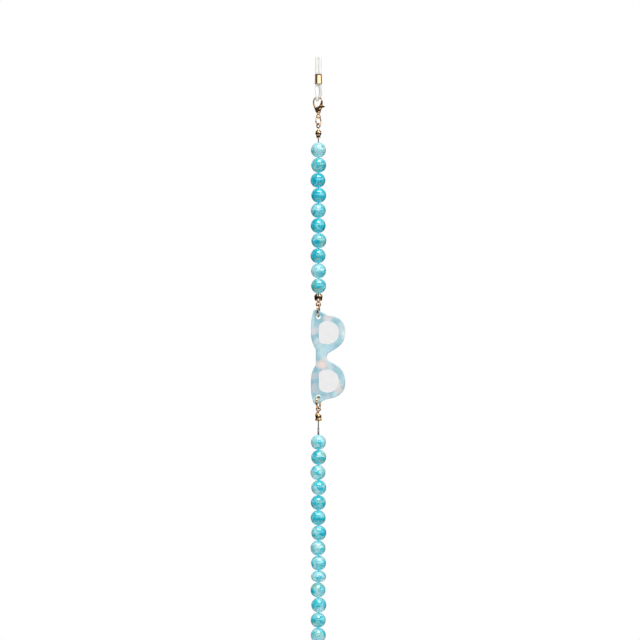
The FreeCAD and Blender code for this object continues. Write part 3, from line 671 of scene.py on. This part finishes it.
def silicone_line(splay, bottom):
    """The endless loop's middle line, from the top bend down the leg that runs behind the clasp's hook,
    under the hook and up the leg in front of it."""
    top, half = 4.78, 0.86
    straight = [(half, 0, top), (half, 0, top - 2 * half), (half, 0, -9.8), (half, 0, -10.9)]
    behind = [(1.1, splay / 2, -12.8), (1.2, splay, -15.4), (-0.7, splay, bottom)]
    before = [(-0.7, -splay, bottom), (-0.7, -splay, -15.4), (-1.1, -splay / 2, -12.8)]
    rising = [(-x, y, z) for x, y, z in straight[::-1]]
    return smooth_curve(straight + behind + before + rising, 14, closed=True)


def upright_circle(radius, angle, across=0.0, height=0.0):
    """Points of a circle in the plane that the camera sees, at the given angles from +X."""
    return np.stack([across + radius * np.cos(angle), 0 * angle, height + radius * np.sin(angle)], -1)


def leaned(part, core, heights, shares):
    """Slopes the outer faces of a flat piece: what stands out past the core's half depth is scaled by a
    share that runs in a straight line from one height to the other."""
    points, faces = part
    proud = np.maximum(np.abs(points[:, 1]) - core, 0) * np.interp(points[:, 2], heights, shares)
    depth = np.minimum(np.abs(points[:, 1]), core) + proud
    return np.stack([points[:, 0], np.sign(points[:, 1]) * depth, points[:, 2]], -1), faces


def clasp_parts():
    """Clasp body: hook and left arm as one tapering sweep, two cheeks, a base and an eye.

    The sweep's width and depth are interpolated along its path; the base is a second sweep, which
    narrows to the eye's neck.
    """
    arm = smooth_curve([(-2.5, 0, -19.32), (-2.45, 0, -20.4), (-1.75, 0, -22.0), (-1.2, 0, -23.4),
                        (-0.95, 0, -24.4)], 10)
    hook = upright_circle(2.25, np.radians(np.linspace(26, 190, 60)), -0.3, -18.85)
    spine = respaced(np.concatenate([hook, arm[1:]]), 90, 0.4)
    share = walked(spine) / walked(spine)[-1]
    dome = domed(spine, 0.45, 0.2)
    width = np.interp(share, [0, 0.2, 0.5, 0.72, 0.86, 1], [0.33, 0.37, 0.4, 0.42, 0.55, 0.5]) * dome
    depth = np.interp(share, [0, 0.3, 0.6, 0.8, 1], [0.6, 0.74, 0.71, 0.67, 0.62]) * dome
    parts = [sweep(spine, width, depth, 20, squareness=2.6)]
    root = smooth_curve([(0, 0, -24.38), (0, 0, -24.9), (0, 0, -25.3), (0, 0, -26.05)], 10)
    root = respaced(root, 22, 0.3)
    fall = walked(root) / walked(root)[-1]
    width = np.interp(fall, [0, 0.1, 0.35, 0.65, 1], [0.95, 1.12, 1.0, 0.62, 0.4])
    depth = np.interp(fall, [0, 0.1, 0.35, 0.65, 1], [0.95, 1.08, 0.95, 0.6, 0.34])
    parts.append(sweep(root, width, depth, 24, squareness=2.5))
    cheek = smooth_curve([(-2.0, -22.2), (-1.45, -23.5), (-1.05, -25.05), (1.0, -25.05), (1.35, -23.6),
                          (1.85, -22.3), (1.9, -20.9), (0.9, -20.7), (-0.4, -21.7), (-1.5, -22.1)],
                         8, closed=True)
    parts += [leaned(plate(cheek, front, front + 0.45, 0.14), 0.65, (-25.05, -20.6), (0.3, 1.3))
              for front in (-1.1, 0.65)]
    eye = upright_circle(1.05, full_turn(48), height=-26.85)
    parts.append(sweep(eye, 0.28, 0.28, 14, closed=True))
    # a domed rivet head on each cheek
    head = np.array([[0.02, 0.16], [0.2, 0.13], [0.36, 0.05], [0.42, -0.04], [0.3, -0.06],
                     [0.02, -0.06]])
    for turn, cheek_face in ((90, -1.08), (-90, 1.08)):
        cap = turned(lathe(head, full_turn(20), cap="rows"), turn, "x")
        parts.append(moved(cap, (0.75, cheek_face, -22.9)))
    return parts


def lever_parts():
    """Clasp lever: one plate whose outline is a smooth curve round the gate, thumb tab and knuckle."""
    outline = [(2.2, -18.25), (2.38, -19.0), (2.25, -20.0), (2.2, -20.85), (2.9, -21.05),
               (3.45, -21.35), (3.35, -21.9), (2.5, -22.1), (1.6, -22.35), (1.4, -23.1), (1.0, -23.6),
               (0.35, -23.5), (0.1, -22.9), (0.1, -22.0), (0.55, -20.9), (1.05, -19.8), (1.38, -18.9),
               (1.32, -18.1), (1.85, -18.02)]
    points = smooth_curve(outline[::-1], 6, closed=True)
    return [leaned(plate(points, -0.55, 0.55, 0.12), 0, (-23.6, -18.0), (0.5, 1.0))]


def ring_part(centre, radius, wire, turn, slit_side):
    """A jump ring: a round wire carried once round a circle in an upright plane, its two sawn ends a
    hair apart at one side and offset by a tenth of the wire in depth, as hand-closed rings are."""
    gap = 0.05 / radius
    first = 0 if slit_side > 0 else np.pi
    angle = np.linspace(first + gap, first + 2 * np.pi - gap, 90)
    path = upright_circle(radius, angle)
    path[:, 1] = np.linspace(-0.05, 0.05, 90) * wire
    return moved(turned(sweep(path, wire, wire, 18), turn, "z"), centre)


def clamshell_parts(radius, collar, hole, gap, spread, power, waist):
    """Two half shells of a bead tip about the origin, wire hole down and hinge up.

    The profile is a superellipse from the hinge to the collar's lip, drawn in round its middle by a
    bell curve where the tip is waisted, and back up inside 0.3 mm nearer the axis. Each half is it
    carried over half a turn less the gap, then swung open about the hinge.
    """
    polar = np.linspace(0.16, 2.42, 26)
    squash = (np.abs(np.sin(polar)) ** power + np.abs(np.cos(polar)) ** power) ** (-1 / power)
    outer = radius * squash[:, None] * np.stack([np.sin(polar), np.cos(polar)], -1)
    outer[:, 0] *= 1 - waist * np.exp(-(outer[:, 1] / radius / 0.45) ** 2)
    lip = np.array([[hole + 0.45, -collar * 0.9], [hole + 0.5, -collar], [hole + 0.2, -collar - 0.05],
                    [hole, -collar + 0.1]])
    inner = (outer * (1 - 0.3 / radius))[::-1]
    inner = inner[inner[:, 0] > 0.15]
    profile = np.concatenate([outer, lip, inner])
    half_gap = math.asin(min(0.9, gap / 2 / radius))
    azimuth = np.linspace(-np.pi / 2 + half_gap, np.pi / 2 - half_gap, 22)
    shells = []
    for way in (0, 180):
        shell = turned(lathe(profile, azimuth, wrap_rows=True, cap="cols"), way, "z")
        shells.append(turned(shell, -spread if way == 0 else spread, "y", (0, 0, radius)))
    return shells


def tip_parts(tip):
    """A whole bead tip, hung so that its loop is up: shells, a neck that tapers into the loop's wire,
    and the loop. A hooked neck leaves the loop sideways and runs down to one shell's rim."""
    radius, reach, wire = tip["radius"], tip["reach"], tip["wire"]
    parts = clamshell_parts(*(tip[key] for key in "radius collar hole gap spread power waist".split()))
    loop = upright_circle(tip["loop"], full_turn(56))
    ring = turned(sweep(loop, wire, wire, 16, closed=True), tip["turn"], "z")
    parts.append(moved(ring, (0, 0, reach)))
    under = reach - tip["loop"]
    if tip["hooked"]:
        line = [(0.0, 0, under), (-0.5, 0, under - 0.35), (-radius * 0.62, 0, radius + 0.42),
                (-radius * 0.8, 0, radius * 0.95), (-radius * 0.86, 0, radius * 0.55)]
        neck = respaced(smooth_curve(line, 10), 30, 0.3)
        share = np.linspace(0, 1, 30)
        dome = wire * domed(neck, 0.2, 0.3)
        parts.append(sweep(neck, dome * (1 + 0.1 * share), dome * (1 + 1.2 * share), 16))
    share = np.linspace(0, 1, 20)
    neck = np.linspace((0, 0, under + wire * 0.2), (0, 0, radius * 0.86), 20)
    size = wire * 0.85 + (tip["root"] - wire * 0.85) * share ** 2.2
    parts.append(sweep(neck, size, size, 20))
    return parts


# -------- operators

# The softbox: width, height and place in metres, turn in degrees.
SOFTBOX_SIZE, SOFTBOX_PLACE, SOFTBOX_TURN = (2.3, 1.4), (0.29, -1.38, 2.35), (28, 0, 12)
# The floor's top as (radius, height) in metres, and how far it lies below the strap.
FLOOR_ROWS, FLOOR_DROP = ((0.02, 0), (0.3, 0), (0.5, 0), (0.699, 0), (0.7, -0.001)), 0.045
# Brightness of the room as shiny pieces mirror it, and as it lights everything.
MIRRORED_ROOM, SOFT_ROOM = 2.6, 0.68


class STRAP_OT_stage(bpy.types.Operator):
    """Camera, softbox, studio light and floor"""
    bl_idname = "strap.stage"
    bl_label = "Stage"

    def execute(self, context):
        studio = context.scene.strap_studio
        camera = new_object("camera", bpy.data.cameras.new("camera"))
        camera.data.lens = studio.lens
        camera.data.clip_start, camera.data.clip_end = 0.05, 30
        camera.location = (studio.offset, -studio.distance, studio.height)
        camera.rotation_euler = (math.pi / 2, 0, 0)
        context.scene.camera = camera
        key = new_object("softbox", bpy.data.lights.new("softbox", "AREA"))
        key.data.energy, key.data.shape = studio.key, "RECTANGLE"
        key.data.size, key.data.size_y = SOFTBOX_SIZE
        key.location = SOFTBOX_PLACE
        key.rotation_euler = [math.radians(angle) for angle in SOFTBOX_TURN]
        self.light_the_room(context, studio.ambient)
        centre = (0, 0, (CAD_LOW.z - FLOOR_DROP) / MM)
        disc = lathe(np.array(FLOOR_ROWS) / MM, full_turn(96), centre, cap="rows")
        floor = make_mesh("floor", [disc])
        floor.data.materials.append(finish_named("floor"))
        context.scene.view_settings.view_transform = "Standard"
        return {"FINISHED"}

    def light_the_room(self, context, strength):
        """The studio round the strap. Shiny pieces mirror a wide bright window before them, 30 degrees
        to the right, on a dark sill just above their own height and warm at its sides, and the dimmer
        room round it. Soft light comes from all sides. What is seen past or through the strap is
        plain white paper."""
        world = bpy.data.worlds.new("studio")
        world.use_nodes = True
        tree = world.node_tree
        tree.nodes.clear()
        way = (add_node(tree, "ShaderNodeTexCoord"), "Generated")
        up = add_node(tree, "ShaderNodeSeparateXYZ", {"Vector": way})
        storey = colour_ramp(tree, ranged(tree, (up, "Z"), -1, 1, 0, 1), [
            (0.06, (0.5, 0.47, 0.42)), (0.2, (0.03, 0.025, 0.02)), (0.552, (0.03, 0.025, 0.02)),
            (0.567, (1, 1, 1)), (0.66, (1, 1, 1)), (0.72, (0.12, 0.1, 0.08)), (1.0, (0.4, 0.4, 0.4))])
        facing = add_node(tree, "ShaderNodeVectorMath", {0: way, 1: (0.5, -0.866, 0)},
                          operation="DOT_PRODUCT")
        turn = ranged(tree, (facing, "Value"), -1, 1, 0, 1)
        window = colour_ramp(tree, turn, [
            (0.0, (0.3, 0.3, 0.3)), (0.3, (0.04, 0.03, 0.02)), (0.58, (0.04, 0.03, 0.02)),
            (0.7, (0.42, 0.22, 0.1)), (0.82, (0.75, 0.6, 0.45)), (0.89, (1.0, 0.97, 0.92))])
        hall = mixed(tree, 1.0, storey, window, "MULTIPLY")
        walls = colour_ramp(tree, turn, [(0.0, (0.72, 0.72, 0.73)), (1, (1.0, 0.99, 0.97))])
        mirrored, soft, paper = (
            (add_node(tree, "ShaderNodeBackground", {"Color": colour, "Strength": level}), 0)
            for colour, level in ((hall, MIRRORED_ROOM * strength), (walls, SOFT_ROOM * strength),
                                  ((1, 1, 1, 1), 1.0)))
        rays = add_node(tree, "ShaderNodeLightPath")
        seen = maths(tree, "MAXIMUM", (rays, "Is Camera Ray"), (rays, "Is Transmission Ray"))
        lit = add_node(tree, "ShaderNodeMixShader", {0: (rays, "Is Glossy Ray"), 1: soft, 2: mirrored})
        shown = add_node(tree, "ShaderNodeMixShader", {0: seen, 1: (lit, 0), 2: paper})
        add_node(tree, "ShaderNodeOutputWorld", {"Surface": (shown, 0)})
        context.scene.world = world


class STRAP_OT_wires(bpy.types.Operator):
    """Ten lengths of coated stringing wire, each drawn straight between its CAD ends"""
    bl_idname = "strap.wires"
    bl_label = "Stringing wires"

    def execute(self, context):
        nodes = [f"{side}_strand_wire_{half}" for side in SIDES for half in "ab"]
        for node in nodes + [f"neck_wire_{k + 1}" for k in range(NECK_SEGMENTS)]:
            self.string(node, context.scene.strap_sizes.wire)
        return {"FINISHED"}

    def string(self, node, thickness):
        """One wire as a NURBS curve from its top, through its middle, to its bottom."""
        bottom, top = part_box(node)[0].z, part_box(node)[1].z
        curve = bpy.data.curves.new(node, "CURVE")
        curve.dimensions = "3D"
        spline = curve.splines.new("NURBS")
        spline.points.add(2)
        for point, height in zip(spline.points, (top, (top + bottom) / 2, bottom)):
            point.co = (0, 0, height, 1)
        spline.order_u = 3
        spline.use_endpoint_u = True
        curve.bevel_depth = thickness / 2
        curve.bevel_resolution = 4
        curve.use_fill_caps = True
        made = new_object(f"string_{node}", curve)
        place(made, node, "stringing_wire")


class STRAP_OT_beads(bpy.types.Operator):
    """All the round beads and the one flattened bead"""
    bl_idname = "strap.beads"
    bl_label = "Stone beads"

    def execute(self, context):
        sizes = context.scene.strap_sizes
        pitch, clear = sizes.bead_pitch / MM, (sizes.bead_pitch - sizes.bead) / 2 / MM
        for side in SIDES:
            for first, half in ((0, "a"), (HALF_BEADS, "b")):
                node = f"{side}_strand_beads_{half}"
                heights = span(node, side)[1] + clear - pitch / 2 - pitch * np.arange(HALF_BEADS)
                numbers = range(first, first + HALF_BEADS)
                centres = [wander(n) + (0, 0, z) for n, z in zip(numbers, heights)]
                bead_row(node, centres, numbers, END_LOOKS, side)
        talls = np.full(NECK_SEGMENTS * SEGMENT_BEADS, pitch)
        talls[FLAT_BEAD] = sizes.flat_bead / MM
        heights = high("neck_beads_1")[2] + clear - np.cumsum(talls) + talls / 2
        centres = [wander(n) + (0, 0, z) for n, z in enumerate(heights)]
        for segment in range(NECK_SEGMENTS):
            first = segment * SEGMENT_BEADS
            numbers = [n for n in range(first, first + SEGMENT_BEADS) if n != FLAT_BEAD]
            bead_row(f"neck_beads_{segment + 1}", [centres[n] for n in numbers], numbers, NECK_LOOKS)
        bead_row("flat_bead", [centres[FLAT_BEAD]], [FLAT_BEAD], NECK_LOOKS)
        return {"FINISHED"}


class STRAP_OT_silicone(bpy.types.Operator):
    """The endless silicone loops that grip the temples"""
    bl_idname = "strap.silicone"
    bl_label = "Silicone loops"

    def execute(self, context):
        radius = context.scene.strap_sizes.silicone / 2 / MM
        line = silicone_line(1.6, -17.98)
        # the section's depth turns from the front plane at the top to the side plane lower down
        share = np.clip((-line[:, 2] - 1) / 8, 0, 1)[:, None]
        ease = share * share * (3 - 2 * share)
        depth_axis = (1 - ease) * (0, 1, 0) + ease * (1, 0, 0)
        # the slider pinches the legs by a twentieth
        pinch = radius * (1 - 0.05 * np.exp(-((line[:, 2] + 7) / 2.6) ** 4))
        for side in SIDES:
            loop = sweep(line, pinch, pinch, 22, depth_axis, closed=True)
            place(make_mesh(f"loop_{side}", [loop], side), f"{side}_silicone_loop", "silicone")
        return {"FINISHED"}


class STRAP_OT_sliders(bpy.types.Operator):
    """The thin metal tubes that slide on the silicone's legs"""
    bl_idname = "strap.sliders"
    bl_label = "Sliding tubes"

    def execute(self, context):
        for side in SIDES:
            bottom, top = span(f"{side}_slider_tube", side)
            # the wall widens to its foot and each rim rolls out: radius against distance from the rim
            inward = np.array([0, 0.06, 0.18, 0.32, 0.45, 0.6])
            head, foot = [1.78, 1.84, 1.84, 1.82, 1.81, 1.814], [1.926, 1.93, 1.94, 1.95, 1.94, 1.86]
            down = np.concatenate([top - inward, bottom + inward[::-1]])
            outside = np.stack([np.array(head + foot), down], -1)
            inside = np.array([[1.75, bottom], [1.73, bottom + 0.1], [1.73, top - 0.1], [1.75, top]])
            profile = np.concatenate([outside, inside])
            wall = lathe(profile, full_turn(64), wrap_rows=True, wrap_cols=True)
            place(make_mesh(f"slider_{side}", [wall], side), f"{side}_slider_tube", "rose_gold_tube")
        return {"FINISHED"}


class STRAP_OT_clasps(bpy.types.Operator):
    """Lobster clasps: body with hook and eye, lever, pin and leaf spring"""
    bl_idname = "strap.clasps"
    bl_label = "Clasps"

    def execute(self, context):
        for side in SIDES:
            body = make_mesh(f"clasp_{side}", clasp_parts(), side)
            place(body, f"{side}_clasp_body", "gold_plated_brass")
            lever = make_mesh(f"lever_{side}", lever_parts(), side)
            place(lever, f"{side}_clasp_lever", "gold_plated_brass")
            refinish(f"{side}_clasp_pin", "spring_steel")
            refinish(f"{side}_clasp_spring", "spring_steel")
        return {"FINISHED"}


class STRAP_OT_rings(bpy.types.Operator):
    """Jump rings: one on each clasp and two on each charm"""
    bl_idname = "strap.rings"
    bl_label = "Jump rings"

    # name, radius of the wire's middle in mm, turn about the hanging line in degrees, side of the slit
    KINDS = (("clasp_ring", 2.05, 50, 1), ("outer_charm_ring", 3.12, 82, 1),
             ("inner_charm_ring", 3.12, 72, -1))

    def execute(self, context):
        sizes = context.scene.strap_sizes
        for side in SIDES:
            for name, radius, turn, slit_side in self.KINDS:
                node = f"{side}_{name}"
                thickness = sizes.clasp_ring if name == "clasp_ring" else sizes.charm_ring
                centre = (0, 0, sum(span(node, side)) / 2)
                part = ring_part(centre, radius, thickness / 2 / MM, turn, slit_side)
                place(make_mesh(f"{name}_{side}", [part], side), node, "gold_plated_brass")
        return {"FINISHED"}


class STRAP_OT_tips(bpy.types.Operator):
    """Clamshell bead tips, the crimps inside them and the sleeve over the wire's tail"""
    bl_idname = "strap.tips"
    bl_label = "Bead tips"

    # in mm, degrees and shares: the shells' radius, collar and gap, how far each is swung open, the
    # loop's turn, the neck's root, the shells' superellipse power and waist; then a hooked neck, and
    # the wire end up
    KEYS = "radius collar gap spread turn root power waist hooked flipped".split()
    KINDS = {"clasp_tip": (1.6, 2.6, 0.15, 1.0, 140, 0.8, 2.2, 0.0, False, False),
             "charm_tip": (2.0, 2.1, 0.5, 6.0, 0, 1.3, 2.9, 0.04, False, True),
             "neck_tip": (1.75, 1.7, 0.2, 1.5, -18, 0.45, 4.0, 0.16, True, False)}

    def execute(self, context):
        wire = context.scene.strap_sizes.tip_loop / 2 / MM
        for side in SIDES:
            for name, kind in self.KINDS.items():
                kind = {**dict(zip(self.KEYS, kind)), "wire": wire, "loop": 1.1, "hole": 0.5}
                self.tip(f"{side}_{name}", side, kind)
                refinish(f"{side}_{name}_crimp", "gold_plated_brass")
        bottom, top = span("neck_tail_tube", "upper")
        profile = np.array([[0.42, top], [0.47, top - 0.08], [0.47, bottom + 0.08], [0.42, bottom],
                            [0.33, bottom], [0.33, top]])
        sleeve = lathe(profile, full_turn(28), wrap_rows=True, wrap_cols=True)
        place(make_mesh("tail_sleeve", [sleeve]), "neck_tail_tube", "stringing_wire")
        return {"FINISHED"}

    def tip(self, node, side, kind):
        """One bead tip at its CAD place: the box's wire end gives its middle, the other its loop."""
        bottom, top = span(node, side)
        if kind["flipped"]:
            ball, loop = top - kind["collar"], bottom + kind["loop"] + kind["wire"]
        else:
            ball, loop = bottom + kind["collar"], top - kind["loop"] - kind["wire"]
        parts = tip_parts({**kind, "reach": abs(loop - ball)})
        if kind["flipped"]:
            parts = [turned(part, 180, "x") for part in parts]
        made = make_mesh(f"tip_{node}", [moved(part, (0, 0, ball)) for part in parts], side)
        place(made, node, "gold_plated_brass")


class STRAP_OT_charms(bpy.types.Operator):
    """Acetate charms and their lenses, whose CAD shapes are kept"""
    bl_idname = "strap.charms"
    bl_label = "Charms"

    def execute(self, context):
        for side in SIDES:
            refinish(f"{side}_charm_front", f"marbled_acetate_{side}")
            refinish(f"{side}_charm_lens_outer", "clear_lens")
            refinish(f"{side}_charm_lens_inner", "clear_lens")
        return {"FINISHED"}


OPERATORS = (STRAP_OT_stage, STRAP_OT_wires, STRAP_OT_beads, STRAP_OT_silicone, STRAP_OT_sliders,
             STRAP_OT_clasps, STRAP_OT_rings, STRAP_OT_tips, STRAP_OT_charms)


class STRAP_PT_panel(bpy.types.Panel):
    """Buttons for the strap's pieces, with its sizes and colours"""
    bl_idname = "STRAP_PT_panel"
    bl_label = "Retainer strap"
    bl_space_type = "VIEW_3D"
    bl_region_type = "UI"
    bl_category = "Strap"

    def draw(self, context):
        for operator in OPERATORS:
            self.layout.operator(operator.bl_idname)
        scene = context.scene
        for settings in (scene.strap_sizes, scene.strap_colours, scene.strap_studio):
            box = self.layout.box()
            for key in settings.__annotations__:
                box.prop(settings, key)


CLASSES = (StrapSizes, StrapColours, StrapStudio, *OPERATORS, STRAP_PT_panel)


def register():
    """Registers the classes and hangs the settings on the scene."""
    for made in CLASSES:
        bpy.utils.register_class(made)
    bpy.types.Scene.strap_sizes = bpy.props.PointerProperty(type=StrapSizes)
    bpy.types.Scene.strap_colours = bpy.props.PointerProperty(type=StrapColours)
    bpy.types.Scene.strap_studio = bpy.props.PointerProperty(type=StrapStudio)


def unregister():
    """Takes the settings and classes away again."""
    del bpy.types.Scene.strap_studio, bpy.types.Scene.strap_colours, bpy.types.Scene.strap_sizes
    for made in reversed(CLASSES):
        bpy.utils.unregister_class(made)


def main():
    """Builds everything in order."""
    register()
    for operator in OPERATORS:
        group, name = operator.bl_idname.split(".")
        getattr(getattr(bpy.ops, group), name)()


if __name__ == "__main__":
    main()
